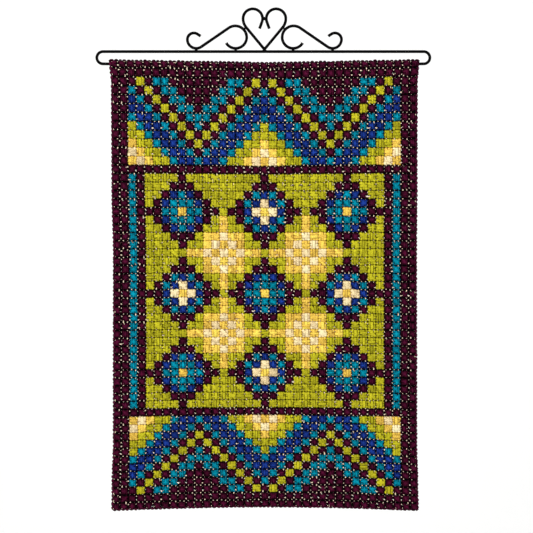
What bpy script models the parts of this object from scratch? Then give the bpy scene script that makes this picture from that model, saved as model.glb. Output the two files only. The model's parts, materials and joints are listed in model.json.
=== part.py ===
"""Needlepoint panel, hung by the casing at its top from a wire bell-pull hanger.

Metres, +Z up. The origin is the nail point, just under the weld between the heart's
two lobes. The stitched face looks along -Y, and the wall is on the +Y side.
"""
import math
from collections import namedtuple

import bmesh
import bpy

# Hanger: black wire, bent on pegs and welded
WIRE_DIAMETER = 0.0030
WIRE_BEVEL_STEPS = 3
BEND_STEP = math.radians(12)
PIECE_GAP = 0.0003
BAR_HEIGHT = -0.0315
END_BEND_RADIUS = 0.0062
END_BEND_LEFT = -0.1640
END_BEND_RIGHT = 0.1618
ROD_MIDDLE_HEIGHT = -0.0470
ROD_MIDDLE_GAP = 0.006
LOBE_WELD_SIZE = (0.0011, 0.0012, 0.0019)
BLACK_COAT = (0.012, 0.012, 0.013)

# Needlepoint: Smyrna stitches in rows on canvas, counted from the lower left corner
COLUMNS = 37
ROD_ROW = 54.4
ROW_HEIGHT_LOW = 0.00785
ROW_HEIGHT_HIGH = 0.00925
ROW_COUNT = 55
CLOTH_THICKNESS = 0.0031
HEM_THICKNESS = 0.0012
FOLD_ROWS = 1.5
FOLD_STEPS = 8
HEM_ROWS = 4
HEM_CUTS = (0.3, 0.65, 1)
HEM_ROW_HEIGHT = 0.0083
HEM_GAP = 0.0004
HEM_INSET = 0.0012
CORNER_HEIGHT = -0.4977
BOTTOM_ARCH = 0.0037
SCALLOP = 0.0008
ROW_STEP = 5
RIM_CUTS_PER_ROW = 3
SHARP_ANGLE = math.radians(40)
AUBERGINE_WOOL = (0.06, 0.008, 0.035)

# The cloth's unevenness in depth: a slanting wave and a shorter ripple, which fade out
# towards the rod, and the curl of the two lower corners
BOW = 0.0012
BOW_FULL_ROW = 30
BOW_FADE_ROWS = 18
WAVES_ACROSS = 0.9
WAVE_START = 0.2
WAVE_ROWS = 130
RIPPLE_ROWS = 43
RIPPLE_SHARE = 0.6
CORNER_CURL = 0.0022
CORNER_ROWS = 9
CORNER_POWER = 4

WIRE_RADIUS = WIRE_DIAMETER / 2
WRAP_RADIUS = WIRE_RADIUS + PIECE_GAP
BAR_CONTACT = BAR_HEIGHT + WIRE_DIAMETER + PIECE_GAP
ROD_END_HEIGHT = BAR_HEIGHT - 2 * END_BEND_RADIUS

# A peg has its centre, the radius of the wire's centre line round it, and the side
# of the travelling wire that it stands on. A wire's end is a peg without a radius.
Peg = namedtuple("Peg", "x z radius side")
LEFT, RIGHT = -1, 1

FRAME_PEGS = (
    Peg(-ROD_MIDDLE_GAP / 2, ROD_MIDDLE_HEIGHT, 0, RIGHT),
    Peg(END_BEND_LEFT, BAR_HEIGHT - END_BEND_RADIUS, END_BEND_RADIUS, RIGHT),
    Peg(END_BEND_RIGHT, BAR_HEIGHT - END_BEND_RADIUS, END_BEND_RADIUS, RIGHT),
    Peg(ROD_MIDDLE_GAP / 2, ROD_MIDDLE_HEIGHT, 0, RIGHT),
)

# The heart from one inner tip to the other. Each lobe opens out from its round inner
# part to a wider outer one; the two pegs touch where the wire runs upright.
HEART_POINT_RADIUS = 0.0018
LOBE_RADII = (0.0099, 0.0140)
LOBE_HEIGHT = 0.0019
LOBE_OUTER = 0.0217
HEART_TIP = (0.0049, -0.0082)
HEART_PEGS = (
    Peg(-HEART_TIP[0], HEART_TIP[1], 0, LEFT),
    Peg(LOBE_RADII[0] - LOBE_OUTER, LOBE_HEIGHT, LOBE_RADII[0], LEFT),
    Peg(LOBE_RADII[1] - LOBE_OUTER, LOBE_HEIGHT, LOBE_RADII[1], LEFT),
    Peg(0, BAR_CONTACT + HEART_POINT_RADIUS, HEART_POINT_RADIUS, LEFT),
    Peg(LOBE_OUTER - LOBE_RADII[1], LOBE_HEIGHT, LOBE_RADII[1], LEFT),
    Peg(LOBE_OUTER - LOBE_RADII[0], LOBE_HEIGHT, LOBE_RADII[0], LEFT),
    Peg(*HEART_TIP, 0, LEFT),
)

# The left scroll from the tip of its small curl to the tip of its big one. Each
# curl winds in: its second peg touches the first where the wire runs upright.
SMALL_CURL_LEFT, SMALL_CURL_RADII = -0.0782, (0.0066, 0.0090)
BIG_CURL_RIGHT, BIG_CURL_RADII = -0.0180, (0.0116, 0.0112)
SMALL_CURL_HEIGHT = BAR_CONTACT + SMALL_CURL_RADII[1]
BIG_CURL_HEIGHT = BAR_CONTACT + BIG_CURL_RADII[1]
SMALL_CURL_TIP = (-0.0648, -0.0159)
BIG_CURL_TIP = (-0.0376, -0.0222)
SCROLL_PEGS = (
    Peg(*SMALL_CURL_TIP, 0, LEFT),
    Peg(SMALL_CURL_LEFT + SMALL_CURL_RADII[0], SMALL_CURL_HEIGHT, SMALL_CURL_RADII[0], LEFT),
    Peg(SMALL_CURL_LEFT + SMALL_CURL_RADII[1], SMALL_CURL_HEIGHT, SMALL_CURL_RADII[1], LEFT),
    Peg(BIG_CURL_RIGHT - BIG_CURL_RADII[0], BIG_CURL_HEIGHT, BIG_CURL_RADII[0], RIGHT),
    Peg(BIG_CURL_RIGHT - BIG_CURL_RADII[1], BIG_CURL_HEIGHT, BIG_CURL_RADII[1], RIGHT),
    Peg(*BIG_CURL_TIP, 0, RIGHT),
)

# The cloth's side edges, which draw in between the casing and the lower corners
Edge = namedtuple("Edge", "height left right")
SIDE_EDGES = (
    Edge(CORNER_HEIGHT, -0.1550, 0.1562),
    Edge(-0.4660, -0.1546, 0.1556),
    Edge(-0.4300, -0.1533, 0.1545),
    Edge(-0.2400, -0.1532, 0.1542),
    Edge(-0.1700, -0.1548, 0.1548),
    Edge(-0.0640, -0.1553, 0.1551),
    Edge(ROD_END_HEIGHT, -0.1571, 0.1566),
)
CASING_WIDTH = SIDE_EDGES[-1].right - SIDE_EDGES[-1].left
# Far smaller than a row, for telling whether a point lies on a row line
ROW_TOLERANCE = 0.001


def clear_scene():
    for item in list(bpy.data.objects):
        bpy.data.objects.remove(item, do_unlink=True)


def plain_material(name, colour, roughness, metallic=0.0):
    material = bpy.data.materials.new(name)
    material.use_nodes = True
    shader = material.node_tree.nodes["Principled BSDF"]
    shader.inputs["Base Color"].default_value = (*colour, 1)
    shader.inputs["Roughness"].default_value = roughness
    shader.inputs["Metallic"].default_value = metallic
    return material


def add_object(name, data, material):
    item = bpy.data.objects.new(name, data)
    bpy.context.scene.collection.objects.link(item)
    data.materials.append(material)
    return item


def blend(low, high, share):
    """Soft change from low to high as share goes from 0 to 1."""
    share = max(0.0, min(1.0, share))
    return low + (high - low) * share * share * (3 - 2 * share)


def bent_wire(pegs):
    """Centre line (x, z) of a wire bent round pegs, straight from each to the next."""
    headings = []
    for near, far in zip(pegs, pegs[1:]):
        dx, dz = far.x - near.x, far.z - near.z
        lean = (far.side * far.radius - near.side * near.radius) / math.hypot(dx, dz)
        headings.append(math.atan2(dz, dx) + math.asin(max(-1.0, min(1.0, lean))))
    line = [(pegs[0].x, pegs[0].z)]
    for peg, arriving, leaving in zip(pegs[1:], headings, headings[1:]):
        turn = ((arriving - leaving) * peg.side) % math.tau
        steps = max(2, math.ceil(turn / BEND_STEP))
        for step in range(steps + 1):
            heading = arriving - peg.side * turn * step / steps
            point = (peg.x - peg.side * peg.radius * math.sin(heading),
                     peg.z + peg.side * peg.radius * math.cos(heading))
            if math.dist(point, line[-1]) > PIECE_GAP:
                line.append(point)
    line.append((pegs[-1].x, pegs[-1].z))
    return line


def wire_curve(name, line):
    curve = bpy.data.curves.new(name, "CURVE")
    curve.dimensions = "3D"
    curve.bevel_depth = WIRE_RADIUS
    curve.bevel_resolution = WIRE_BEVEL_STEPS
    curve.use_fill_caps = True
    spline = curve.splines.new("POLY")
    spline.points.add(len(line) - 1)
    for point, (x, z) in zip(spline.points, line):
        point.co = (x, 0, z, 1)
    return curve


def hanger_frame(material):
    """Top bar, the two end bends and the lower rod, whose halves stop short of each other."""
    return add_object("hanger_frame", wire_curve("hanger_frame", bent_wire(FRAME_PEGS)), material)


def heart(material):
    """One wire bent to a heart, with the weld that joins its lobes."""
    curve = bpy.data.objects.new("heart_curve", wire_curve("heart_curve", bent_wire(HEART_PEGS)))
    mesh = bpy.data.meshes.new_from_object(curve)
    bpy.data.objects.remove(curve)
    mesh.name = "heart"
    item = add_object("heart", mesh, material)

    bead = bpy.data.meshes.new("heart_weld_bead")
    ball = bmesh.new()
    bmesh.ops.create_icosphere(ball, subdivisions=2, radius=1)
    bmesh.ops.scale(ball, vec=LOBE_WELD_SIZE, verts=ball.verts)
    ball.to_mesh(bead)
    ball.free()
    cutter = bpy.data.objects.new("heart_weld_bead", bead)
    cutter.location = (0, 0, LOBE_HEIGHT)
    cutter.hide_render = True
    cutter.display_type = "WIRE"
    bpy.context.scene.collection.objects.link(cutter)
    weld = item.modifiers.new("weld", "BOOLEAN")
    weld.operation = "UNION"
    weld.object = cutter
    return item


def scroll(name, side, material):
    """A scroll that stands on the bar by both its curls, on the LEFT or RIGHT side."""
    line = [(-side * x, z) for x, z in bent_wire(SCROLL_PEGS)]
    return add_object(name, wire_curve(name, line), material)


def rod_height(x):
    """Height of the lower rod's centre line, whose halves droop to the middle."""
    share = min(1.0, abs(x) / END_BEND_RIGHT)
    return ROD_MIDDLE_HEIGHT + (ROD_END_HEIGHT - ROD_MIDDLE_HEIGHT) * share


def rows_length(row):
    """Length of the worked rows below a row line. The rows grow taller upwards."""
    growth = (ROW_HEIGHT_HIGH - ROW_HEIGHT_LOW) / (3 * ROW_COUNT ** 2)
    return ROW_HEIGHT_LOW * row + growth * row ** 3


def side_edges(height):
    """Places of the cloth's two side edges at a height."""
    height = max(SIDE_EDGES[0].height, min(SIDE_EDGES[-1].height, height))
    for low, high in zip(SIDE_EDGES, SIDE_EDGES[1:]):
        if height <= high.height:
            share = (height - low.height) / (high.height - low.height)
            break
    return blend(low.left, high.left, share), blend(low.right, high.right, share)


def scallop(count):
    """Roll of the outer stitches past the canvas, one bump to each stitch."""
    return SCALLOP * (abs(math.sin(math.pi * count)) - 0.5)


def bow(across, row):
    """Slow unevenness of the hanging cloth in depth, and the curl of its lower corners."""
    free = blend(1, 0, (row - BOW_FULL_ROW) / BOW_FADE_ROWS)
    wave = math.sin(math.tau * (WAVES_ACROSS * across + WAVE_START + row / WAVE_ROWS))
    ripple = RIPPLE_SHARE * math.sin(math.tau * row / RIPPLE_ROWS)
    corner = (2 * abs(across)) ** CORNER_POWER * blend(1, 0, row / CORNER_ROWS)
    return BOW * (wave + ripple) * free + CORNER_CURL * corner


def cloth_thickness(row):
    """Stitched canvas on the front and up over the rod, bare canvas from there on."""
    half_fold = FOLD_ROWS / 2
    return blend(CLOTH_THICKNESS, HEM_THICKNESS, (row - ROD_ROW - half_fold) / half_fold)


def hung_point(column, row, face):
    """Place of a point of the flat canvas once it hangs.

    The face is 0 on the rod's side and 1 on the stitched side. The rows run up the
    front to the rod, over it for FOLD_ROWS, and down the back for HEM_ROWS.
    """
    across = column / COLUMNS - 0.5
    depth = face * cloth_thickness(row)
    rod = rod_height(across * CASING_WIDTH)
    fold_end = ROD_ROW + FOLD_ROWS
    if row <= ROD_ROW:
        bottom = CORNER_HEIGHT + BOTTOM_ARCH * (1 - (2 * across) ** 2)
        if row == 0:
            bottom -= scallop(column)
        height = bottom + (rod - bottom) * rows_length(row) / rows_length(ROD_ROW)
        y = -WRAP_RADIUS - depth + bow(across, row)
    elif row <= fold_end:
        angle = math.pi * (row - ROD_ROW) / FOLD_ROWS
        height = rod + (WRAP_RADIUS + depth) * math.sin(angle)
        y = -(WRAP_RADIUS + depth) * math.cos(angle)
    else:
        share = (row - fold_end) / HEM_ROWS
        height = rod - share * HEM_ROWS * HEM_ROW_HEIGHT
        y = blend(WRAP_RADIUS, HEM_GAP - WRAP_RADIUS, share) + depth
    left, right = side_edges(min(height, rod))
    inset = HEM_INSET * blend(0, 1, (row - ROD_ROW) / FOLD_ROWS)
    roll = scallop(row) if row < ROD_ROW else 0
    if column == 0:
        left -= roll
    if column == COLUMNS:
        right += roll
    x = left + inset + (right - left - 2 * inset) * (across + 0.5)
    return x, y, height


def flat_canvas():
    """The canvas laid flat, in columns and rows, with fine side and bottom edges."""
    rows = [float(row) for row in range(0, int(ROD_ROW), ROW_STEP)] + [ROD_ROW]
    rows += [ROD_ROW + FOLD_ROWS * (step + 1) / FOLD_STEPS for step in range(FOLD_STEPS)]
    rows += [ROD_ROW + FOLD_ROWS + HEM_ROWS * share for share in HEM_CUTS]
    flat = bmesh.new()
    grid = [[flat.verts.new((column, row, 0)) for column in range(COLUMNS + 1)] for row in rows]
    for low, high in zip(grid, grid[1:]):
        for column in range(COLUMNS):
            flat.faces.new((low[column], low[column + 1], high[column + 1], high[column]))
    for edges, cuts in ((side_rim(flat), ROW_STEP * RIM_CUTS_PER_ROW - 1),
                        (bottom_rim(flat), RIM_CUTS_PER_ROW - 1)):
        bmesh.ops.subdivide_edges(flat, edges=edges, cuts=cuts)
    bmesh.ops.triangulate(flat, faces=flat.faces)
    return flat


def side_rim(flat):
    return [edge for edge in flat.edges if edge.is_boundary
            and edge.verts[0].co.x == edge.verts[1].co.x
            and max(vert.co.y for vert in edge.verts) <= ROD_ROW + ROW_TOLERANCE]


def bottom_rim(flat):
    return [edge for edge in flat.edges if edge.is_boundary
            and edge.verts[0].co.y == 0 and edge.verts[1].co.y == 0]


def stitched_panel(material):
    """The whole cloth as one solid: both faces of the hung canvas and the rim between them."""
    flat = flat_canvas()
    flat.verts.index_update()
    panel = bmesh.new()
    sides = []
    for face in (0, 1):
        sides.append([panel.verts.new(hung_point(vert.co.x, vert.co.y, face)) for vert in flat.verts])
    back, front = sides
    for face in flat.faces:
        corners = [vert.index for vert in face.verts]
        panel.faces.new([front[corner] for corner in corners])
        panel.faces.new([back[corner] for corner in reversed(corners)])
    for edge in flat.edges:
        if edge.is_boundary:
            loop = edge.link_loops[0]
            start, end = loop.vert.index, loop.link_loop_next.vert.index
            panel.faces.new((front[end], front[start], back[start], back[end]))
    flat.free()
    bmesh.ops.recalc_face_normals(panel, faces=panel.faces)
    mesh = bpy.data.meshes.new("stitched_panel")
    panel.to_mesh(mesh)
    panel.free()
    mesh.shade_smooth()
    mesh.set_sharp_from_angle(angle=SHARP_ANGLE)
    return add_object("stitched_panel", mesh, material)


def main():
    clear_scene()
    black_wire = plain_material("black_wire", BLACK_COAT, roughness=0.45, metallic=0.6)
    aubergine_wool = plain_material("aubergine_wool", AUBERGINE_WOOL, roughness=0.95)
    hanger_frame(black_wire)
    heart(black_wire)
    scroll("left_scroll", LEFT, black_wire)
    scroll("right_scroll", RIGHT, black_wire)
    stitched_panel(aubergine_wool)


main()
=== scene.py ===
"""Looks of a needlepoint panel on its wire hanger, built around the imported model.

The file is laid out as an add-on: settings, one operator for each group of pieces, one
for the stage, and a panel that lists them. Metres, +Z up. The origin is the nail point
under the heart's weld, and the stitched face looks along -Y.
"""
import json
import math
from collections import namedtuple

import bmesh
import bpy
import numpy as np
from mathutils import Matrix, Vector

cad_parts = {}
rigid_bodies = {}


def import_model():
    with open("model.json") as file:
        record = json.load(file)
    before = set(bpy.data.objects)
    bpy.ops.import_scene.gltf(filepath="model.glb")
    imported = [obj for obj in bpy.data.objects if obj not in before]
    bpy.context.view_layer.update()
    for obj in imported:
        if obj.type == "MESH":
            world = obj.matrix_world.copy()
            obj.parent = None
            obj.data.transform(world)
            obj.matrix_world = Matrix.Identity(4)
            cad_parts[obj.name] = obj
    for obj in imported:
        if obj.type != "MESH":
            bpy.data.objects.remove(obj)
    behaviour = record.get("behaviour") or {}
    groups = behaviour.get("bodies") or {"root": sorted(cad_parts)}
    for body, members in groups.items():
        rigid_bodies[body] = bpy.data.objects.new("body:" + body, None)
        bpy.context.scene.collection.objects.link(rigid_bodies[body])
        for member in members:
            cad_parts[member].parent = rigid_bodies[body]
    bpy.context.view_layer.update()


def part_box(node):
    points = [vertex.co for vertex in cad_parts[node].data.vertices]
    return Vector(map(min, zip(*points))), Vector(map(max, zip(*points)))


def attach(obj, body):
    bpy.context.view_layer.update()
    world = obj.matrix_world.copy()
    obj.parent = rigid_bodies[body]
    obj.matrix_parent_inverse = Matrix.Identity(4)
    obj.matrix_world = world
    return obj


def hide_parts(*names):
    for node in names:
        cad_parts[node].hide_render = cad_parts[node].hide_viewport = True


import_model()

bl_info = {
    "name": "Needlepoint Panel",
    "version": (1, 0, 0),
    "blender": (4, 5, 0),
    "location": "View3D > Sidebar > Needlepoint",
    "description": "Dresses a needlepoint panel and its wire hanger for a picture",
    "category": "Object",
}

BODY = "root"
hanger_low, hanger_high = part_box("hanger_frame")
panel_low, panel_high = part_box("stitched_panel")

# Hanger: sizes of the bent wire, read from the frame where it shows them
WIRE_RADIUS = 0.0015
PIECE_GAP = 0.0003
END_BEND_RADIUS = 0.0062
ROD_MIDDLE_GAP = 0.006
BAR_HEIGHT = hanger_high.z - WIRE_RADIUS
END_BEND_LEFT = hanger_low.x + WIRE_RADIUS + END_BEND_RADIUS
END_BEND_RIGHT = hanger_high.x - WIRE_RADIUS - END_BEND_RADIUS
ROD_END_HEIGHT = BAR_HEIGHT - 2 * END_BEND_RADIUS
ROD_MIDDLE_HEIGHT = hanger_low.z + WIRE_RADIUS
BAR_CONTACT = BAR_HEIGHT + 2 * WIRE_RADIUS + PIECE_GAP

# A peg has its centre, the radius of the wire's centre line round it, and the side
# of the travelling wire that it stands on. A wire's end is a peg without a radius.
Peg = namedtuple("Peg", "x z radius side")
LEFT, RIGHT = -1, 1

FRAME_PEGS = (
    Peg(-ROD_MIDDLE_GAP / 2, ROD_MIDDLE_HEIGHT, 0, RIGHT),
    Peg(END_BEND_LEFT, BAR_HEIGHT - END_BEND_RADIUS, END_BEND_RADIUS, RIGHT),
    Peg(END_BEND_RIGHT, BAR_HEIGHT - END_BEND_RADIUS, END_BEND_RADIUS, RIGHT),
    Peg(ROD_MIDDLE_GAP / 2, ROD_MIDDLE_HEIGHT, 0, RIGHT),
)

HEART_POINT_RADIUS = 0.0018
LOBE_RADII = (0.0099, 0.0140)
LOBE_HEIGHT = 0.0019
LOBE_OUTER = 0.0217
HEART_TIP = (0.0049, -0.0082)
HEART_PEGS = (
    Peg(-HEART_TIP[0], HEART_TIP[1], 0, LEFT),
    *(Peg(radius - LOBE_OUTER, LOBE_HEIGHT, radius, LEFT) for radius in LOBE_RADII),
    Peg(0, BAR_CONTACT + HEART_POINT_RADIUS, HEART_POINT_RADIUS, LEFT),
    *(Peg(LOBE_OUTER - radius, LOBE_HEIGHT, radius, LEFT) for radius in LOBE_RADII[::-1]),
    Peg(*HEART_TIP, 0, LEFT),
)

SMALL_CURL_LEFT, SMALL_CURL_RADII = -0.0782, (0.0066, 0.0090)
BIG_CURL_RIGHT, BIG_CURL_RADII = -0.0180, (0.0116, 0.0112)
SMALL_CURL_HEIGHT = BAR_CONTACT + SMALL_CURL_RADII[1]
BIG_CURL_HEIGHT = BAR_CONTACT + BIG_CURL_RADII[1]
SMALL_CURL_TIP = (-0.0648, -0.0159)
BIG_CURL_TIP = (-0.0376, -0.0222)
SCROLL_PEGS = (
    Peg(*SMALL_CURL_TIP, 0, LEFT),
    *(Peg(SMALL_CURL_LEFT + radius, SMALL_CURL_HEIGHT, radius, LEFT)
      for radius in SMALL_CURL_RADII),
    *(Peg(BIG_CURL_RIGHT - radius, BIG_CURL_HEIGHT, radius, RIGHT) for radius in BIG_CURL_RADII),
    Peg(*BIG_CURL_TIP, 0, RIGHT),
)
BEND_STEP = math.radians(7.5)
MERGE_DISTANCE = 0.00001
END_BEVEL_SHARE = 0.3
SMOOTH_ANGLE = math.radians(50)

# Half sizes of the weld beads, and the place where a scroll meets the heart
LOBE_BEAD = (0.0011, 0.0012, 0.0019)
POINT_BEAD = (0.0024, 0.0012, 0.0009)
FOOT_BEAD = (0.0016, 0.0011, 0.0008)
SIDE_BEAD = (0.0009, 0.0010, 0.0016)
SIDE_WELD = (0.0198, -0.0079)
BEAD_UNEVENNESS = 0.05

# Cloth: columns and rows of stitches are counted from the lower left corner
COLUMNS = 37
ROWS = 55
ROD_ROW = 54.4
FOLD_ROWS = 1.2
HEM_ROWS = 4
HEM_END = ROD_ROW + FOLD_ROWS + HEM_ROWS
STITCH = 0.0083
ROW_HEIGHT_LOW = 0.00785
ROW_HEIGHT_HIGH = 0.00925
WRAP_RADIUS = WIRE_RADIUS + PIECE_GAP
CORNER_HEIGHT = panel_low.z + 0.0004
BOTTOM_ARCH = 0.0037
HEM_DROP = HEM_ROWS * STITCH
HEM_GAP = 0.0004
CLOTH_TO_ROD = 0.95

# Slow waves of the free cloth in depth, and the curl of its lower corners
BOW = 0.0012
BOW_FULL_ROW = 30
BOW_FADE_ROWS = 18
WAVES_ACROSS = 0.9
WAVE_START = 0.2
WAVE_ROWS = 130
RIPPLE_ROWS = 43
RIPPLE_SHARE = 0.6
CORNER_CURL = 0.0022
CORNER_ROWS = 9
CORNER_POWER = 4

# Bend of the cloth's outer edges towards the back
ROLL_WIDTH = 0.0022
ROLL_SPREAD = 0.0012
ROLL_CENTRE = 0.0002
ROLL_ANGLE = math.radians(95)
ROLL_LIMIT = 1.3

Edge = namedtuple("Edge", "height left right")
SIDE_EDGES = (
    Edge(CORNER_HEIGHT, -0.1550, 0.1562),
    Edge(-0.4660, -0.1546, 0.1556),
    Edge(-0.4300, -0.1533, 0.1545),
    Edge(-0.2400, -0.1532, 0.1542),
    Edge(-0.1700, -0.1548, 0.1548),
    Edge(-0.0640, -0.1553, 0.1551),
    Edge(ROD_END_HEIGHT, -0.1571, 0.1566),
)

# Depths run from the cloth's rod side to its crests. A strand has one at its holes and
# one at its middle, which strays in depth and sways to the side.
CANVAS_DEPTH = 0.0010
Lie = namedtuple("Lie", "hole middle stray sway")
FRONT_LIES = [Lie(-0.0001, middle, 0.00018, 0.00042)
              for middle in (0.0015, 0.0018, 0.0021, 0.0023)]
BACK_LIE = Lie(CANVAS_DEPTH, 0.00025, 0.00006, 0.00015)
BINDING_LIE = Lie(0.0003, 0.0013, 0.0001, 0.0001)
FOLD_LIE = Lie(CANVAS_DEPTH, 0.0020, 0.00015, 0.0002)
HEM_LIE = Lie(CANVAS_DEPTH, 0.0015, 0.0001, 0.0001)


class WireSettings(bpy.types.PropertyGroup):
    """Finish of the hanger's wire."""

    sides: bpy.props.IntProperty(
        name="Sides", description="Facets round the wire", default=14, min=6, max=32)
    colour: bpy.props.FloatVectorProperty(
        name="Colour", description="Colour of the satin black coat", subtype="COLOR",
        size=3, default=(0.002, 0.002, 0.0022), min=0, max=1)
    roughness: bpy.props.FloatProperty(
        name="Roughness", description="Roughness of the coat", default=0.36, min=0, max=1)


class YarnSettings(bpy.types.PropertyGroup):
    """Sizes and colours of the wool and the canvas."""

    strand_width: bpy.props.FloatProperty(
        name="Strand width", description="Width of a wool strand over its stitch",
        default=0.0033, unit="LENGTH")
    strand_thickness: bpy.props.FloatProperty(
        name="Strand thickness", description="Thickness of a pressed wool strand",
        default=0.0016, unit="LENGTH")
    back_width: bpy.props.FloatProperty(
        name="Back strand width", description="Width of a strand across the back",
        default=0.0030, unit="LENGTH")
    thread_width: bpy.props.FloatProperty(
        name="Canvas thread width", description="Width of a double thread of the canvas",
        default=0.0013, unit="LENGTH")
    thread_thickness: bpy.props.FloatProperty(
        name="Canvas thread thickness", description="Thickness of a canvas thread",
        default=0.0007, unit="LENGTH")
    unevenness: bpy.props.FloatProperty(
        name="Unevenness", description="How far holes and strands stray from their places",
        default=0.00018, unit="LENGTH")
    seed: bpy.props.IntProperty(name="Seed", description="Seed of the unevenness", default=7)
    aubergine: bpy.props.FloatVectorProperty(
        name="Aubergine", description="Wool of the border and the outlines", subtype="COLOR",
        size=3, default=(0.082, 0.0045, 0.027), min=0, max=1)
    lime: bpy.props.FloatVectorProperty(
        name="Lime", description="Wool of the ground", subtype="COLOR",
        size=3, default=(0.485, 0.445, 0.017), min=0, max=1)
    yellow: bpy.props.FloatVectorProperty(
        name="Yellow", description="Wool of the lights", subtype="COLOR",
        size=3, default=(0.94, 0.605, 0.094), min=0, max=1)
    cream: bpy.props.FloatVectorProperty(
        name="Cream", description="Wool of the palest lights", subtype="COLOR",
        size=3, default=(0.98, 0.765, 0.42), min=0, max=1)
    teal: bpy.props.FloatVectorProperty(
        name="Teal", description="Wool of the stripes and stars", subtype="COLOR",
        size=3, default=(0.001, 0.288, 0.41), min=0, max=1)
    blue: bpy.props.FloatVectorProperty(
        name="Blue", description="Wool of the stars and waves", subtype="COLOR",
        size=3, default=(0.013, 0.047, 0.305), min=0, max=1)
    canvas: bpy.props.FloatVectorProperty(
        name="Canvas", description="Cotton of the canvas", subtype="COLOR",
        size=3, default=(1.0, 0.80, 0.60), min=0, max=1)


class StageSettings(bpy.types.PropertyGroup):
    """Floor, light and camera."""

    lens: bpy.props.FloatProperty(
        name="Lens", description="Focal length in millimetres", default=110, min=20)
    view_size: bpy.props.FloatProperty(
        name="View size", description="Side of the square that the camera sees at the cloth",
        default=0.541, unit="LENGTH")
    view_across: bpy.props.FloatProperty(
        name="View across", description="Place of the view's middle, left to right",
        default=0.0021, unit="LENGTH")
    view_height: bpy.props.FloatProperty(
        name="View height", description="Height of the view's middle",
        default=-0.2497, unit="LENGTH")
    floor_colour: bpy.props.FloatVectorProperty(
        name="Floor", description="Colour of the floor and backdrop", subtype="COLOR",
        size=3, default=(0.985, 0.985, 0.98), min=0, max=1)
    key_power: bpy.props.FloatProperty(
        name="Key light", description="Power of the soft light from above", default=76,
        unit="POWER")
    fill_power: bpy.props.FloatProperty(
        name="Fill light", description="Power of the soft light from the front", default=10,
        unit="POWER")
    backdrop_power: bpy.props.FloatProperty(
        name="Backdrop light", description="Power of the light on the backdrop", default=7,
        unit="POWER")
    sky: bpy.props.FloatProperty(
        name="Room light", description="Strength of the even light of the room", default=0.68)


def smooth(share):
    """Soft change from 0 to 1."""
    share = np.clip(share, 0.0, 1.0)
    return share * share * (3 - 2 * share)


def deselect():
    """Leaves edit mode and selects nothing."""
    if bpy.context.object and bpy.context.object.mode != "OBJECT":
        bpy.ops.object.mode_set(mode="OBJECT")
    bpy.ops.object.select_all(action="DESELECT")


def pick(*items):
    """Selects these objects alone. The first is the active one."""
    deselect()
    for item in items:
        item.select_set(True)
    bpy.context.view_layer.objects.active = items[0]


def edit_all():
    """Enters edit mode with everything selected."""
    bpy.ops.object.mode_set(mode="EDIT")
    bpy.ops.mesh.select_all(action="SELECT")


def select_verts(item, test):
    """In edit mode, selects the points whose place passes the test."""
    mesh = bmesh.from_edit_mesh(item.data)
    for vert in mesh.verts:
        vert.select = bool(test(vert.co))
    mesh.select_flush(True)
    mesh.select_flush(False)
    bmesh.update_edit_mesh(item.data)


def finish_piece(item, name, material, slot, *nodes):
    """Names a piece, gives it its finish, and sets it on the frame."""
    item.name = name
    item.data.name = name
    item.data.materials.clear()
    item.data.materials.append(material)
    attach(item, BODY)
    if nodes:
        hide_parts(*nodes)


# Materials: each noise by its scale, detail and roughness
WOOL_FIBRES = (1500, 4.0, 0.7)
WOOL_FUZZ = (5200, 2.0, 0.6)
CANVAS_FIBRES = (2600, 3.0, 0.6)
WIRE_PATCHES = (420, 4.0, 0.6)
WIRE_SPECKS = (3600, 2.0, 0.5)
# Weights of what turns, lightens or lifts each surface
PLY_TURNS = {"around": 3.0, "along": 9.0, "fibres": 0.8}
WOOL_LIGHT = {"ply": 0.12, "fibres": 0.55, "tone": 0.12, "strand": 0.22, "fuzz": 0.12}
WOOL_RELIEF = {"fibres": 0.7, "ply": 0.5, "fuzz": 0.5}
THREAD_TWIST = {"around": 12.566, "along": 40.0}
CANVAS_LIGHT = {"edge_shade_and_rise": 0.4, "fibres": 0.6}
CANVAS_RELIEF = {"edge_shade_and_rise": 1.0, "fibres": 1.0, "twist": 0.2}
WIRE_RELIEF = {"patches": 1.0, "specks": 0.4}
WIRE_RUB, WIRE_RUB_MIDDLE = 0.25, 0.12

# Shares of light, each with the factor on the surface's colour there
WOOL_TINTS = ((0.35, 0.5), (0.57, 1.0), (0.79, 1.5))
CANVAS_TINTS = ((0.25, 0.75), (0.5, 1.0))
WIRE_TINTS = ((0.35, 0.6), (0.6, 1.0), (0.85, 2.4))
# Painted light on a strand from its shaded pits to its crest, and how much more of it the weak
# channels lose
PAINTED_CREST_LIGHT = ((0.0, 0.0), (0.33, 0.10), (0.55, 0.62), (0.9, 1.0))
PAINTED_PIT_TINT = 1.6


def new_finish(name, colour, roughness):
    """A material with its numbers on the shader's own sockets."""
    material = bpy.data.materials.new(name)
    material.use_nodes = True
    shader = material.node_tree.nodes["Principled BSDF"]
    shader.inputs["Base Color"].default_value = (*colour, 1)
    shader.inputs["Roughness"].default_value = roughness
    return material, material.node_tree, shader


def add_node(tree, kind, values=(), **settings):
    """A node with its settings, and with the given inputs linked or set."""
    node = tree.nodes.new(kind)
    for name, value in settings.items():
        setattr(node, name, value)
    for socket, value in dict(values).items():
        if isinstance(value, bpy.types.NodeSocket):
            tree.links.new(value, node.inputs[socket])
        else:
            node.inputs[socket].default_value = value
    return node


def maths(tree, operation, first, second=0.0, third=0.0):
    """Result of one Math node."""
    node = add_node(tree, "ShaderNodeMath", {0: first, 1: second, 2: third}, operation=operation)
    return node.outputs[0]


def weighed(tree, weights, values):
    """Sum of the values that have a weight, each times its weight."""
    total = 0.0
    for name, weight in weights.items():
        total = maths(tree, "MULTIPLY_ADD", values[name], weight, total)
    return total


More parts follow.
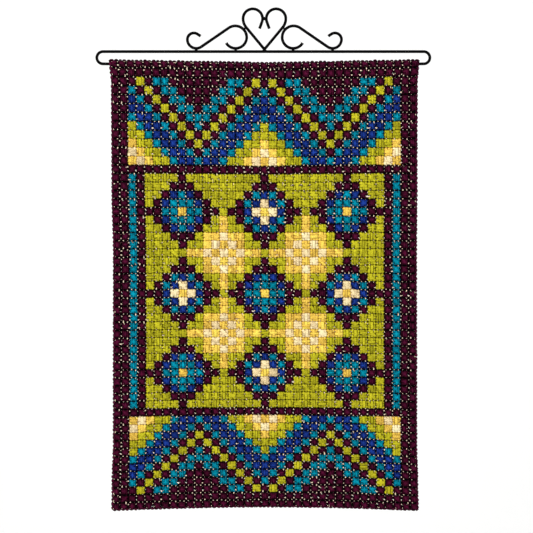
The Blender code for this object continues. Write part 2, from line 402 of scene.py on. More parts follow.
def noise(tree, scale, detail, roughness):
    """Noise on the object's own coordinates, from 0 to 1."""
    place = add_node(tree, "ShaderNodeTexCoord").outputs["Object"]
    node = add_node(tree, "ShaderNodeTexNoise", {
        "Vector": place, "Scale": scale, "Detail": detail, "Roughness": roughness})
    return node.outputs["Fac"]


def strand_place(tree):
    """How far round its strand a point lies, and how far along it."""
    uv = add_node(tree, "ShaderNodeUVMap", uv_map="ply")
    around, along, _ = add_node(tree, "ShaderNodeSeparateXYZ", {0: uv.outputs[0]}).outputs
    return around, along


def shades(tree, share, stops):
    """Colours blended by a share from 0 to 1."""
    ramp = add_node(tree, "ShaderNodeValToRGB", {"Fac": share})
    while len(ramp.color_ramp.elements) < len(stops):
        ramp.color_ramp.elements.new(0.5)
    for element, (place, colour) in zip(ramp.color_ramp.elements, stops):
        element.position = place
        element.color = (*colour, 1)
    return ramp.outputs["Color"]


def tints(tree, share, colour, stops):
    """One colour made darker or lighter by a share from 0 to 1."""
    return shades(tree, share, [
        (place, [min(1.0, channel * factor) for channel in colour]) for place, factor in stops])


def emboss(tree, shader, height, strength, distance):
    """Fine relief on a surface."""
    bump = add_node(tree, "ShaderNodeBump", {
        "Height": height, "Strength": strength, "Distance": distance})
    tree.links.new(bump.outputs[0], shader.inputs["Normal"])


def wool_finish(name, colour, wool):
    """Matt fuzzy wool: twisted ply, stray fibres, and painted shade that deepens towards the
    holes and on the strands' sides.
    """
    material, tree, shader = new_finish(name, colour, roughness=0.95)
    # The yarn attribute holds random tone, painted light share and random strand tone
    yarn = add_node(tree, "ShaderNodeAttribute", attribute_name="yarn")
    parts = add_node(tree, "ShaderNodeSeparateColor", {"Color": yarn.outputs["Color"]})
    tone, painted_light_share, strand = parts.outputs
    around, along = strand_place(tree)
    values = {"tone": tone, "strand": strand, "around": around, "along": along,
              "fibres": noise(tree, *WOOL_FIBRES), "fuzz": noise(tree, *WOOL_FUZZ)}
    turns = maths(tree, "MULTIPLY", weighed(tree, PLY_TURNS, values), math.tau)
    values["ply"] = maths(tree, "MULTIPLY_ADD", maths(tree, "SINE", turns), 0.5, 0.5)
    lit = tints(tree, weighed(tree, WOOL_LIGHT, values), colour, WOOL_TINTS)
    # Painted shade: the colour is multiplied darker where the painted light share is low, towards
    # the holes and the strands' sides, more so in weak channels
    shade_falls = [wool.shade * (1 + PAINTED_PIT_TINT * (1 - channel)) for channel in colour]
    painted_shade = shades(tree, painted_light_share, [
        (place, [(wool.floor + (1 - wool.floor) * light) ** fall for fall in shade_falls])
        for place, light in PAINTED_CREST_LIGHT])
    painted_shade_mix = add_node(tree, "ShaderNodeMix", {0: 1.0, 6: lit, 7: painted_shade},
                    data_type="RGBA", blend_type="MULTIPLY")
    tree.links.new(painted_shade_mix.outputs[2], shader.inputs["Base Color"])
    shader.inputs["Specular IOR Level"].default_value = 0.04
    shader.inputs["Sheen Weight"].default_value = 0.02
    shader.inputs["Sheen Roughness"].default_value = 0.5
    shader.inputs["Sheen Tint"].default_value = (*colour, 1)
    emboss(tree, shader, weighed(tree, WOOL_RELIEF, values), strength=1.0, distance=0.0009)
    return material


def canvas_finish(name, colour):
    """Stiff cotton canvas: two threads side by side in each band, with painted shade towards each
    band's edges.
    """
    material, tree, shader = new_finish(name, colour, roughness=0.85)
    around, along = strand_place(tree)
    values = {"around": around, "along": along, "fibres": noise(tree, *CANVAS_FIBRES)}
    values["twist"] = maths(tree, "SINE", weighed(tree, THREAD_TWIST, values))
    threads = maths(tree, "SINE", maths(tree, "MULTIPLY", around, math.tau))
    # Painted shade: darker at each band's two edges, lighter on its front and back; the same
    # share also rounds the relief
    values["edge_shade_and_rise"] = maths(tree, "ABSOLUTE", threads)
    lit = tints(tree, weighed(tree, CANVAS_LIGHT, values), colour, CANVAS_TINTS)
    tree.links.new(lit, shader.inputs["Base Color"])
    shader.inputs["Specular IOR Level"].default_value = 0.25
    emboss(tree, shader, weighed(tree, CANVAS_RELIEF, values), strength=0.7, distance=0.0002)
    return material


def wire_finish(name, settings):
    """Satin black coat on drawn wire, a little rubbed and uneven."""
    material, tree, shader = new_finish(name, settings.colour, settings.roughness)
    values = {"patches": noise(tree, *WIRE_PATCHES), "specks": noise(tree, *WIRE_SPECKS)}
    lit = tints(tree, values["patches"], settings.colour, WIRE_TINTS)
    tree.links.new(lit, shader.inputs["Base Color"])
    rough = maths(tree, "MULTIPLY_ADD", values["patches"], WIRE_RUB,
                  settings.roughness - WIRE_RUB_MIDDLE)
    tree.links.new(rough, shader.inputs["Roughness"])
    shader.inputs["Specular IOR Level"].default_value = 0.02
    emboss(tree, shader, weighed(tree, WIRE_RELIEF, values), strength=0.35, distance=0.0002)
    return material


# Hanger


def headings(pegs):
    """Direction of each straight run from one peg to the next, as an angle in the XZ plane."""
    runs = []
    for near, far in zip(pegs, pegs[1:]):
        dx, dz = far.x - near.x, far.z - near.z
        lean = (far.side * far.radius - near.side * near.radius) / math.hypot(dx, dz)
        runs.append(math.atan2(dz, dx) + math.asin(max(-1.0, min(1.0, lean))))
    return runs


def touch_point(peg, heading):
    """Where a wire with that heading touches its peg."""
    return Vector((peg.x - peg.side * peg.radius * math.sin(heading), 0,
                   peg.z + peg.side * peg.radius * math.cos(heading)))


def bent_wire(pegs, sides):
    """A round wire, extruded along its straight runs and spun round its pegs."""
    runs = headings(pegs)
    deselect()
    start = Vector((pegs[0].x, 0, pegs[0].z))
    bpy.ops.mesh.primitive_circle_add(
        vertices=sides, radius=WIRE_RADIUS, fill_type="NGON", location=start,
        rotation=(0, math.pi / 2 - runs[0], 0))
    wire = bpy.context.object
    bpy.ops.object.transform_apply(location=True, rotation=True, scale=True)
    edit_all()
    place = start
    for index, peg in enumerate(pegs[1:]):
        arrive = touch_point(peg, runs[index])
        if (arrive - place).length > PIECE_GAP:
            bpy.ops.mesh.extrude_region_move(TRANSFORM_OT_translate={"value": arrive - place})
        place = arrive
        if peg.radius:
            turn = ((runs[index] - runs[index + 1]) * peg.side) % math.tau
            bpy.ops.mesh.spin(
                steps=max(2, math.ceil(turn / BEND_STEP)), angle=-turn * peg.side,
                center=(peg.x, 0, peg.z), axis=(0, 1, 0))
            place = touch_point(peg, runs[index + 1])
    bpy.ops.mesh.select_all(action="SELECT")
    bpy.ops.mesh.remove_doubles(threshold=MERGE_DISTANCE)
    bpy.ops.mesh.normals_make_consistent(inside=False)
    bpy.ops.mesh.select_all(action="DESELECT")
    mesh = bmesh.from_edit_mesh(wire.data)
    # Only the two end faces have more than four corners
    for face in mesh.faces:
        face.select = len(face.verts) > 4
    bmesh.update_edit_mesh(wire.data)
    bpy.ops.mesh.bevel(offset=WIRE_RADIUS * END_BEVEL_SHARE, segments=2, affect="EDGES")
    bpy.ops.object.mode_set(mode="OBJECT")
    bpy.ops.object.shade_smooth_by_angle(angle=SMOOTH_ANGLE)
    return wire


def mirror_wire(wire):
    """A copy of a wire with its own mesh, turned over left to right."""
    pick(wire)
    bpy.ops.object.duplicate()
    twin = bpy.context.object
    edit_all()
    bpy.ops.transform.resize(value=(-1, 1, 1), center_override=(0, 0, 0))
    bpy.ops.mesh.normals_make_consistent(inside=False)
    bpy.ops.object.mode_set(mode="OBJECT")
    return twin


def weld_bead(place, size):
    """A lump of weld metal, pressed flat towards the wall. Its seed comes from its place."""
    deselect()
    bpy.ops.mesh.primitive_ico_sphere_add(subdivisions=3, radius=1, location=(0, 0, 0))
    bead = bpy.context.object
    edit_all()
    bpy.ops.transform.vertex_random(
        offset=BEAD_UNEVENNESS, seed=int(abs(place[0]) * 10000) + 3)
    bpy.ops.mesh.vertices_smooth(factor=0.4, repeat=2)
    bpy.ops.transform.resize(value=size, center_override=(0, 0, 0))
    bpy.ops.transform.translate(value=place)
    bpy.ops.object.mode_set(mode="OBJECT")
    bpy.ops.object.shade_smooth()
    return bead


class NEEDLEPOINT_OT_hanger(bpy.types.Operator):
    """Bend the hanger's main wire, its heart and its scrolls"""

    bl_idname = "needlepoint.hanger"
    bl_label = "Bend Hanger"

    def execute(self, context):
        settings = context.scene.needlepoint_wire
        black = wire_finish("satin_black_wire", settings)
        main_wire = bent_wire(FRAME_PEGS, settings.sides)
        finish_piece(main_wire, "hanger_wire", black, "black_wire", "hanger_frame")
        heart = bent_wire(HEART_PEGS, settings.sides)
        finish_piece(heart, "heart_wire", black, "black_wire", "heart")
        left = bent_wire(SCROLL_PEGS, settings.sides)
        right = mirror_wire(left)
        finish_piece(left, "left_scroll_wire", black, "black_wire", "left_scroll")
        finish_piece(right, "right_scroll_wire", black, "black_wire", "right_scroll")
        return {"FINISHED"}


class NEEDLEPOINT_OT_welds(bpy.types.Operator):
    """Set a weld bead wherever two wires of the hanger meet"""

    bl_idname = "needlepoint.welds"
    bl_label = "Weld Hanger"

    def execute(self, context):
        small_foot = SMALL_CURL_LEFT + SMALL_CURL_RADII[1]
        big_foot = BIG_CURL_RIGHT - BIG_CURL_RADII[1]
        foot_height = BAR_HEIGHT + WIRE_RADIUS
        beads = [weld_bead((0, 0, LOBE_HEIGHT), LOBE_BEAD),
                 weld_bead((0, 0, foot_height), POINT_BEAD)]
        for side in (LEFT, RIGHT):
            for foot_place in (small_foot, big_foot):
                beads.append(weld_bead((-side * foot_place, 0, foot_height), FOOT_BEAD))
            beads.append(weld_bead((side * SIDE_WELD[0], 0, SIDE_WELD[1]), SIDE_BEAD))
        pick(*beads)
        bpy.ops.object.join()
        finish_piece(beads[0], "weld_beads", bpy.data.materials["satin_black_wire"], "black_wire")
        return {"FINISHED"}


# Cloth: worked flat in columns and rows, then hung


def rod_height(across):
    """Height of the lower rod, whose two halves droop to the middle."""
    rod_length = END_BEND_RIGHT - END_BEND_LEFT
    share = np.minimum(1.0, np.abs(across) * rod_length * CLOTH_TO_ROD / END_BEND_RIGHT)
    return ROD_MIDDLE_HEIGHT + (ROD_END_HEIGHT - ROD_MIDDLE_HEIGHT) * share


def rows_length(row):
    """Length of the worked rows below a row line. The rows grow taller upwards."""
    growth = (ROW_HEIGHT_HIGH - ROW_HEIGHT_LOW) / (3 * ROWS ** 2)
    return ROW_HEIGHT_LOW * row + growth * row ** 3


def side_edges(height):
    """Places of the cloth's two side edges at given heights."""
    heights = np.array([edge.height for edge in SIDE_EDGES])
    low = np.clip(np.searchsorted(heights, height) - 1, 0, len(heights) - 2)
    share = smooth((height - heights[low]) / (heights[low + 1] - heights[low]))
    sides = []
    for name in ("left", "right"):
        places = np.array([getattr(edge, name) for edge in SIDE_EDGES])
        sides.append(places[low] + (places[low + 1] - places[low]) * share)
    return sides


def bow(across, row):
    """Slow unevenness of the hanging cloth in depth, and the curl of its lower corners."""
    free = 1 - smooth((row - BOW_FULL_ROW) / BOW_FADE_ROWS)
    wave = np.sin(math.tau * (WAVES_ACROSS * across + WAVE_START + row / WAVE_ROWS))
    ripple = RIPPLE_SHARE * np.sin(math.tau * row / RIPPLE_ROWS)
    corner = (2 * np.abs(across)) ** CORNER_POWER * (1 - smooth(row / CORNER_ROWS))
    return BOW * (wave + ripple) * free + CORNER_CURL * corner


def rolled(place, depth):
    """Bends the cloth back along the edge where place, in stitches, is 0."""
    inside = place * STITCH
    share = np.clip(1 - inside / ROLL_WIDTH, 0.0, ROLL_LIMIT)
    lift = depth - ROLL_CENTRE
    bent = ROLL_WIDTH - share * ROLL_SPREAD - lift * np.sin(ROLL_ANGLE * share)
    inside = np.where(share > 0, bent, inside)
    return inside / STITCH, ROLL_CENTRE + lift * np.cos(ROLL_ANGLE * share)


def hang(column, row, depth):
    """Places of points of the flat cloth once it hangs, as an array of rows x, y, z."""
    column, depth = rolled(column, depth)
    column, depth = rolled(COLUMNS - column, depth)
    column = COLUMNS - column
    row, depth = rolled(row, depth)
    across = column / COLUMNS - 0.5
    rod = rod_height(across)
    bottom = CORNER_HEIGHT + BOTTOM_ARCH * (1 - (2 * across) ** 2)
    worked = np.minimum(row, ROD_ROW)
    height = bottom + (rod - bottom) * rows_length(worked) / rows_length(ROD_ROW)
    y = -WRAP_RADIUS - depth + bow(across, worked)
    turn = math.pi * np.clip((row - ROD_ROW) / FOLD_ROWS, 0.0, 1.0)
    reach = WRAP_RADIUS + depth
    folded = row > ROD_ROW
    height = np.where(folded, rod + reach * np.sin(turn), height)
    y = np.where(folded, -reach * np.cos(turn), y)
    share = (row - ROD_ROW - FOLD_ROWS) / HEM_ROWS
    hem = share > 0
    height = np.where(hem, rod - share * HEM_DROP, height)
    y = np.where(hem, WRAP_RADIUS + (HEM_GAP - 2 * WRAP_RADIUS) * smooth(share) + depth, y)
    left, right = side_edges(np.minimum(height, rod))
    return np.stack([left + (right - left) * (across + 0.5), y, height], axis=-1)


# Rings along a strand have shares of its full width and thickness. The strand's painted
# light falls off towards its ends and sides, as painted shade.
Ring = namedtuple("Ring", "place width thickness")
Shape = namedtuple("Shape", "facets end_fall side_light rings")
SHAPES = {
    "front": Shape(6, 2.6, 0.0, (
        Ring(0, 0.75, 0.80), Ring(0.15, 1, 1), Ring(0.5, 0.78, 1), Ring(0.85, 1, 1),
        Ring(1, 0.75, 0.80))),
    "full": Shape(6, 7.0, 0.0, (
        Ring(0, 0.80, 0.85), Ring(0.12, 1, 1), Ring(0.5, 0.82, 1), Ring(0.88, 1, 1),
        Ring(1, 0.80, 0.85))),
    "edge": Shape(6, 2.1, 0.42, (
        Ring(0, 0.4, 0.6), Ring(0.2, 0.9, 0.95), Ring(0.4, 1, 1), Ring(0.6, 1, 1),
        Ring(0.8, 0.9, 0.95), Ring(1, 0.4, 0.6))),
    "back": Shape(4, 2.1, 0.42, (
        Ring(0, 0.75, 0.9), Ring(0.5, 1, 1), Ring(1, 0.75, 0.9))),
}
RING_REACH = 0.001
# Height of a six-sided strand's crest over its middle, as a share of its thickness
CREST_HEIGHT = 0.433
ARCH_POWER = 0.42
Template = namedtuple("Template", "shape points corners starts uv")
Layer = namedtuple("Layer", "template points crests tones strands")


def strand_template(shape):
    """One strand of unit size along X, shaped from the given rings and kept as arrays to be
    copied.
    """
    deselect()
    bpy.ops.mesh.primitive_cylinder_add(
        vertices=shape.facets, radius=0.5, depth=1, end_fill_type="NGON",
        rotation=(0, math.pi / 2, 0))
    strand = bpy.context.object
    bpy.ops.object.transform_apply(location=True, rotation=True, scale=True)
    bpy.ops.object.mode_set(mode="EDIT")
    for ring in shape.rings[1:-1]:
        bpy.ops.mesh.select_all(action="SELECT")
        bpy.ops.mesh.bisect(plane_co=(ring.place - 0.5, 0, 0), plane_no=(1, 0, 0))
    for ring in shape.rings:
        x = ring.place - 0.5
        select_verts(strand, lambda co: abs(co.x - x) < RING_REACH)
        bpy.ops.transform.resize(value=(1, ring.width, ring.thickness), center_override=(x, 0, 0))
    bpy.ops.object.mode_set(mode="OBJECT")
    mesh = strand.data
    points = np.empty(len(mesh.vertices) * 3)
    mesh.vertices.foreach_get("co", points)
    corners = np.empty(len(mesh.loops), dtype=np.int64)
    mesh.loops.foreach_get("vertex_index", corners)
    starts = np.array([face.loop_start for face in mesh.polygons])
    uv = np.empty(len(mesh.loops) * 2)
    mesh.uv_layers[0].data.foreach_get("uv", uv)
    template = Template(shape, points.reshape(-1, 3), corners, starts, uv.reshape(-1, 2))
    bpy.data.objects.remove(strand)
    bpy.data.meshes.remove(mesh)
    return template


def arch(share):
    """Rise of a strand out of its first hole and down into its last, from 0 to 1."""
    return np.sin(math.pi * np.clip(share, 0, 1)) ** ARCH_POWER


def lay_strands(template, starts, ends, hole_depth, mid_depth, width, thickness, sway):
    """Copies of a strand between pairs of holes, as hung points and each point's share of painted
    light, which falls off towards the strand's ends and sides.
    """
    x, y, z = template.points.T
    along = x + 0.5
    rise = arch(along)
    path = (ends - starts) * STITCH
    length = np.hypot(path[:, 0], path[:, 1])
    beside = y * width[:, None] + rise * sway[:, None]
    column = starts[:, None, 0] + (ends - starts)[:, None, 0] * along \
        - path[:, None, 1] / length[:, None] * beside / STITCH
    row = starts[:, None, 1] + (ends - starts)[:, None, 1] * along \
        + path[:, None, 0] / length[:, None] * beside / STITCH
    depth = hole_depth + (mid_depth[:, None] - hole_depth) * rise + z * thickness[:, None]
    shape = template.shape
    # Painted shade: light falls off on the strand's flanks and towards its ends, where it dives
    # into the holes
    flank_painted_light = shape.side_light + (1 - shape.side_light) * (np.abs(z) / CREST_HEIGHT)
    painted_light_share = (1 - np.abs(2 * along - 1) ** shape.end_fall) * flank_painted_light
    return hang(column, row, depth), np.broadcast_to(np.clip(painted_light_share, 0, 1), depth.shape)


def join_layers(layers):
    """One object of all the strands in some layers."""
    points, corners, starts, uv, yarn = [], [], [], [], []
    point_count = corner_count = 0
    for template, places, crests, tones, strands in layers:
        copies, size = places.shape[:2]
        shift = np.arange(copies)[:, None]
        face_shift = shift * len(template.corners) + corner_count
        points.append(places.reshape(-1, 3))
        corners.append((template.corners + shift * size + point_count).ravel())
        starts.append((template.starts + face_shift).ravel())
        uv.append(np.tile(template.uv, (copies, 1)))
        # Yarn colour: each stitch's random tone, the painted light share, and each strand's
        # random tone
        yarn.append(np.stack([np.broadcast_to(tones[:, None], (copies, size)), crests,
                              np.broadcast_to(strands[:, None], (copies, size)),
                              np.ones((copies, size))], axis=-1).reshape(-1, 4))
        point_count += copies * size
        corner_count += copies * len(template.corners)
    mesh = bpy.data.meshes.new("stitches")
    mesh.vertices.add(point_count)
    mesh.loops.add(corner_count)
    mesh.polygons.add(sum(len(part) for part in starts))
    mesh.vertices.foreach_set("co", np.concatenate(points).ravel())
    mesh.loops.foreach_set("vertex_index", np.concatenate(corners).astype(np.int32))
    mesh.polygons.foreach_set("loop_start", np.concatenate(starts).astype(np.int32))
    mesh.update(calc_edges=True)
    mesh.uv_layers.new(name="ply").data.foreach_set("uv", np.concatenate(uv).ravel())
    shade = mesh.color_attributes.new("yarn", "FLOAT_COLOR", "POINT")
    shade.data.foreach_set("color", np.concatenate(yarn).ravel())
    mesh.shade_smooth()
    item = bpy.data.objects.new("stitches", mesh)
    bpy.context.scene.collection.objects.link(item)
    return item


# Chart: a stitch's place right of and below the middle one gives its wool
FIELD_EDGE = 15
BAND_EDGE = 25
STAR_REPEAT = 10
STAR_POINT = 4
STAR_CORE = 2
DIAMOND_RINGS = 3
WAVE_REPEAT = 16
WAVE_ORDER = ("yellow", "cream", "yellow", "lime", "lime", "teal", "blue", "blue", "teal",
              "aubergine", "lime", "aubergine", "teal", "teal")


def star(right, down, blue_rim):
    """Eight-pointed star, 9 stitches across, or None outside it."""
    ring, square = abs(right) + abs(down), max(abs(right), abs(down))
    if ring > STAR_POINT and square > STAR_CORE:
        return None
    if square == 0:
        return "yellow"
    if square == 1 and ring == 1 and not blue_rim:
        return "cream"
    if ring <= 2:
        return "teal" if blue_rim else "blue"
    if square == 2 and ring == 3:
        return "blue" if blue_rim else "teal"
    return "aubergine"


def ground(right, down):
    """Chequered diamonds between the stars, on lime."""
    half = STAR_REPEAT // 2
    beside, below = abs(abs(right) - half), abs(abs(down) - half)
    ring = beside + below
    if ring <= DIAMOND_RINGS:
        return "yellow" if ring % 2 else "cream"
    tip = beside == 0 or below == 0 or beside == below
    return "yellow" if ring == DIAMOND_RINGS + 1 and tip else "lime"


def wave_band(right, out):
    """Stepped waves of an end band, counted outwards from the field."""
    half = WAVE_REPEAT // 2
    step = out + abs((right + half) % WAVE_REPEAT - half)
    return WAVE_ORDER[step] if step < len(WAVE_ORDER) else "aubergine"


def chart(right, down):
    """Colour of the stitch at a place counted from the middle one."""
    side, end = abs(right), abs(down)
    if side > FIELD_EDGE + 1 or end > BAND_EDGE:
        return "aubergine_border"
    if end > FIELD_EDGE:
        return wave_band(right, end - FIELD_EDGE - 1)
    if end == FIELD_EDGE or side == FIELD_EDGE:
        return "aubergine"
    if side > FIELD_EDGE:
        return "teal"
    across, below = [max(-1, min(1, round(place / STAR_REPEAT))) for place in (right, down)]
    figure = star(right - across * STAR_REPEAT, down - below * STAR_REPEAT,
                  blue_rim=(across + below) % 2 == 0)
    return figure or ground(right, down)


def stitch_cells():
    """Lower left corners of the stitches of each colour."""
    cells = {}
    for row in range(ROWS):
        for column in range(COLUMNS):
            down = ROWS // 2 - row
            cells.setdefault(chart(column - COLUMNS // 2, down), []).append((column, row))
    return {name: np.array(places) for name, places in cells.items()}


def canvas_holes(yarn):
    """Uneven places of the canvas holes, two to a stitch each way, in stitches."""
    draw = np.random.default_rng(yarn.seed)
    across, up = np.meshgrid(np.arange(2 * COLUMNS + 1), np.arange(2 * ROWS + 1), indexing="ij")
    holes = np.stack([across, up], axis=-1) / 2
    stray = draw.normal(0, yarn.unevenness / STITCH, holes.shape)
    stray[[0, -1], :, 0] = 0
    stray[:, 0, 1] = 0
    return holes + stray


# Each wool: how strongly painted shade darkens it towards its holes, the least painted
# light in its pits, how full it is, and how far its diagonal and its straight strands
# bulge past their holes
Wool = namedtuple("Wool", "shade floor fullness reaches")
WOOLS = {
    "aubergine": Wool(1.9, 0.0, 1.0, (0.0, 0.03)),
    "blue": Wool(1.15, 0.0, 1.0, (0.0, 0.03)),
    "teal": Wool(0.88, 0.02, 1.0, (0.0, 0.03)),
    "lime": Wool(0.70, 0.05, 1.14, (0.0, 0.045)),
    "yellow": Wool(0.50, 0.08, 1.18, (0.02, 0.06)),
    "cream": Wool(0.36, 0.10, 1.18, (0.02, 0.06)),
}
SIZE_STRAY = 0.13
BACK_THICKNESS = 0.0007
# Binding strands run from the first threads round the edge to the back, in stitches
BIND_START = 0.35
BIND_END = -0.08
BIND_SLANT = 0.15
# Shares of a front strand's size: width at the edges, thickness on the fold, and the hem
EDGE_WIDTH = 0.95
FOLD_THICKNESS = 1.8
HEM_FINENESS = 0.45
# Running stitches of the hem, in stitches
RUNNING_START = 0.25
RUNNING_PITCH = 2.0
RUNNING_LENGTH = 1.0
RUNNING_ROW = HEM_END - 0.5

# Strands of a stitch as half-stitch steps from its lower left hole, in the order worked:
# two diagonals, one across, one upright, then those on the back
Strand = namedtuple("Strand", "start end")
FRONT_STRANDS = (Strand((0, 0), (2, 2)), Strand((2, 0), (0, 2)),
                 Strand((0, 1), (2, 1)), Strand((1, 0), (1, 2)))
BACK_STRANDS = (Strand((2, 2), (0, 2)), Strand((2, 0), (0, 1)), Strand((2, 1), (1, 2)),
                Strand((1, 0), (2, 0)))


def bound_edges(holes):
    """Starts and ends of the strands that bind the cloth's two sides and its foot."""
    for line, axis, limit in (
            (holes[0, 1:], 0, 0), (holes[-1, 1:], 0, COLUMNS), (holes[1:-1, 0], 1, 0)):
        inwards = 1 if limit == 0 else -1
        starts, ends = line.copy(), line.copy()
        starts[:, axis] = limit + inwards * BIND_START
        ends[:, axis] = limit + inwards * BIND_END
        ends[:, 1 - axis] -= BIND_SLANT
        yield starts, ends


def place_layer(template, starts, ends, lie, sizes, draw, tones=None):
    """One strand between each pair of holes, with its painted light shares and random tones for
    the wool's finish.
    """
    count = len(starts)
    depths = lie.middle + draw.normal(0, lie.stray, count)
    widths, thicknesses = [size * (1 + draw.normal(0, SIZE_STRAY, count)) for size in sizes]
    sways = draw.normal(0, lie.sway, count)
    places, crests = lay_strands(
        template, starts, ends, lie.hole, depths, widths, thicknesses, sways)
    if tones is None:
        tones = draw.random(count)
    return Layer(template, places, crests, tones, draw.random(count))


def strand_holes(strand, cells, holes):
    """Holes where the same strand of each stitch starts, and those where it ends."""
    return [holes[2 * cells[:, 0] + step[0], 2 * cells[:, 1] + step[1]] for step in strand]


def work_colour(wool, cells, holes, templates, yarn, draw):
    """Stitches of one wool, front and back strands together."""
    fullness = WOOLS[wool].fullness
    front = templates["full" if fullness > 1 else "front"]
    back = templates["back"]
    tones = draw.random(len(cells))
    sizes = yarn.strand_width * fullness, yarn.strand_thickness
    back_sizes = yarn.back_width, BACK_THICKNESS
    layers = []
    reaches = np.repeat(WOOLS[wool].reaches, 2)
    for strand, lie, reach in zip(FRONT_STRANDS, FRONT_LIES, reaches):
        starts, ends = strand_holes(strand, cells, holes)
        over = (ends - starts) * reach
        layers.append(place_layer(front, starts - over, ends + over, lie, sizes, draw, tones))
    for strand in BACK_STRANDS:
        starts, ends = strand_holes(strand, cells, holes)
        layer = place_layer(back, starts, ends, BACK_LIE, back_sizes, draw, tones)
        # Painted shade: a back strand is painted dark on the side that faces the cloth, and left
        # unshaded on its rear
        rear_unshaded = np.broadcast_to(back.points[:, 2] < 0, layer.crests.shape)
        layers.append(layer._replace(crests=rear_unshaded.astype(float)))
    return layers


def work_borders(holes, templates, yarn, draw):
    """Strands that bind the cloth's edges, cover its fold and hold its hem."""
    edge = templates["edge"]
    width, thickness = yarn.strand_width * EDGE_WIDTH, yarn.strand_thickness
    layers = [place_layer(edge, starts, ends, BINDING_LIE, (width, thickness), draw)
              for starts, ends in bound_edges(holes)]
    top = holes[:, -1]
    layers.append(place_layer(
        edge, top[:-1], top[1:], FOLD_LIE, (width, thickness * FOLD_THICKNESS), draw))
    across = np.arange(RUNNING_START, COLUMNS - 1, RUNNING_PITCH)
    hem = np.stack([across, np.full_like(across, RUNNING_ROW)], axis=-1)
    fine = yarn.strand_width * HEM_FINENESS, yarn.strand_thickness * HEM_FINENESS
    layers.append(place_layer(edge, hem, hem + (RUNNING_LENGTH, 0.0), HEM_LIE, fine, draw))
    return layers


class NEEDLEPOINT_OT_stitches(bpy.types.Operator):
    """Work the chart's raised crossed stitches, one piece for each wool and the border"""

    bl_idname = "needlepoint.stitches"
    bl_label = "Work Stitches"

    def execute(self, context):
        yarn = context.scene.needlepoint_yarn
        holes = canvas_holes(yarn)
        templates = {name: strand_template(shape) for name, shape in SHAPES.items()}
        draw = np.random.default_rng(yarn.seed + 1)
        finishes = {}
        for name, cells in sorted(stitch_cells().items()):
            wool = name.split("_")[0]
            if wool not in finishes:
                colour = tuple(getattr(yarn, wool))
                finishes[wool] = wool_finish(f"{wool}_wool", colour, WOOLS[wool])
            layers = work_colour(wool, cells, holes, templates, yarn, draw)
            if name == "aubergine_border":
                layers += work_borders(holes, templates, yarn, draw)
            finish_piece(join_layers(layers), f"stitches_{name}", finishes[wool], f"wool_{wool}")
        return {"FINISHED"}


# Threads lie midway between the holes, and weave by a share of their half thickness
THREAD_PLACE = 0.25
WEAVE_SHARE = 0.7


def canvas_mesh(yarn):
    """The canvas as woven bands: a diamond section swept from crossing to crossing."""
    half_width, half_thickness = yarn.thread_width / 2, yarn.thread_thickness / 2
    section = np.array([(half_width, 0), (0, half_thickness),
                        (-half_width, 0), (0, -half_thickness)])
    columns = np.arange(2 * COLUMNS) / 2 + THREAD_PLACE
    rows = np.arange(int(2 * HEM_END)) / 2 + THREAD_PLACE
    points, faces, uv = [], [], []
    for upright in (True, False):
        lines, crossings = (columns, rows) if upright else (rows, columns)
        limits = (0.0, HEM_END) if upright else (0.0, float(COLUMNS))
        stations = np.concatenate([[limits[0]], crossings, [limits[1]]])
        for number, line in enumerate(lines):
            turns = (-1.0) ** (np.arange(len(stations)) + number + upright)
            over = turns * half_thickness * WEAVE_SHARE
            over[[0, -1]] = 0
            beside = line + section[:, 0] / STITCH * (1 if upright else -1)
            depth = CANVAS_DEPTH + over[:, None] + section[None, :, 1]
            run = np.broadcast_to(stations[:, None], depth.shape)
            side = np.broadcast_to(beside[None, :], depth.shape)
            place = hang(side, run, depth) if upright else hang(run, side, depth)
            base = sum(len(part) for part in points)
            points.append(place.reshape(-1, 3))
            for station in range(len(stations) - 1):
                for corner in range(4):
                    following = (corner + 1) % 4
                    low, high = base + 4 * station, base + 4 * station + 4
                    faces.append((low + corner, low + following, high + following, high + corner))
                    near, far = stations[station], stations[station + 1]
                    uv += [(corner / 4, near), ((corner + 1) / 4, near),
                           ((corner + 1) / 4, far), (corner / 4, far)]
            for cap in (range(3, -1, -1), range(4 * len(stations) - 4, 4 * len(stations))):
                faces.append(tuple(base + corner for corner in cap))
                uv += [(0, 0)] * 4
    mesh = bpy.data.meshes.new("canvas")
    mesh.from_pydata(np.concatenate(points).tolist(), [], faces)
    mesh.uv_layers.new(name="ply").data.foreach_set("uv", np.array(uv).ravel())
    mesh.shade_smooth()
    return mesh


class NEEDLEPOINT_OT_canvas(bpy.types.Operator):
    """Weave the canvas, with its casing over the rod and its hem"""

    bl_idname = "needlepoint.canvas"
    bl_label = "Weave Canvas"

    def execute(self, context):
        yarn = context.scene.needlepoint_yarn
        canvas = bpy.data.objects.new("canvas", canvas_mesh(yarn))
        context.scene.collection.objects.link(canvas)
        pick(canvas)
        edit_all()
        bpy.ops.mesh.normals_make_consistent(inside=False)
        bpy.ops.object.mode_set(mode="OBJECT")
        finish_piece(canvas, "canvas", canvas_finish("cotton_canvas", tuple(yarn.canvas)),
                     "canvas", "stitched_panel")
        stitches = [item for item in bpy.data.objects if item.name.startswith("stitches_")]
        if not stitches:
            raise RuntimeError("Work the stitches before the canvas is woven")
        return {"FINISHED"}


# Stage: floor and backdrop, then each light's name, place, size and its target's depth
FLOOR_SIZE = 12
FLOOR_HEIGHT = -1.1
BACKDROP_DEPTH = 3.4
BACKDROP_RISE = 5.0
COVE_RADIUS = 1.0
COVE_STEPS = 16
FLOOR_REACH = 0.01
SENSOR_WIDTH = 36.0
LIGHTS = (
    ("key", (-0.9, -2.0, 1.9), 1.4, 0),
    ("fill", (1.3, -2.6, 0.3), 1.8, 0),
    ("backdrop", (0, 0.7, 1.2), 2.0, BACKDROP_DEPTH),
)


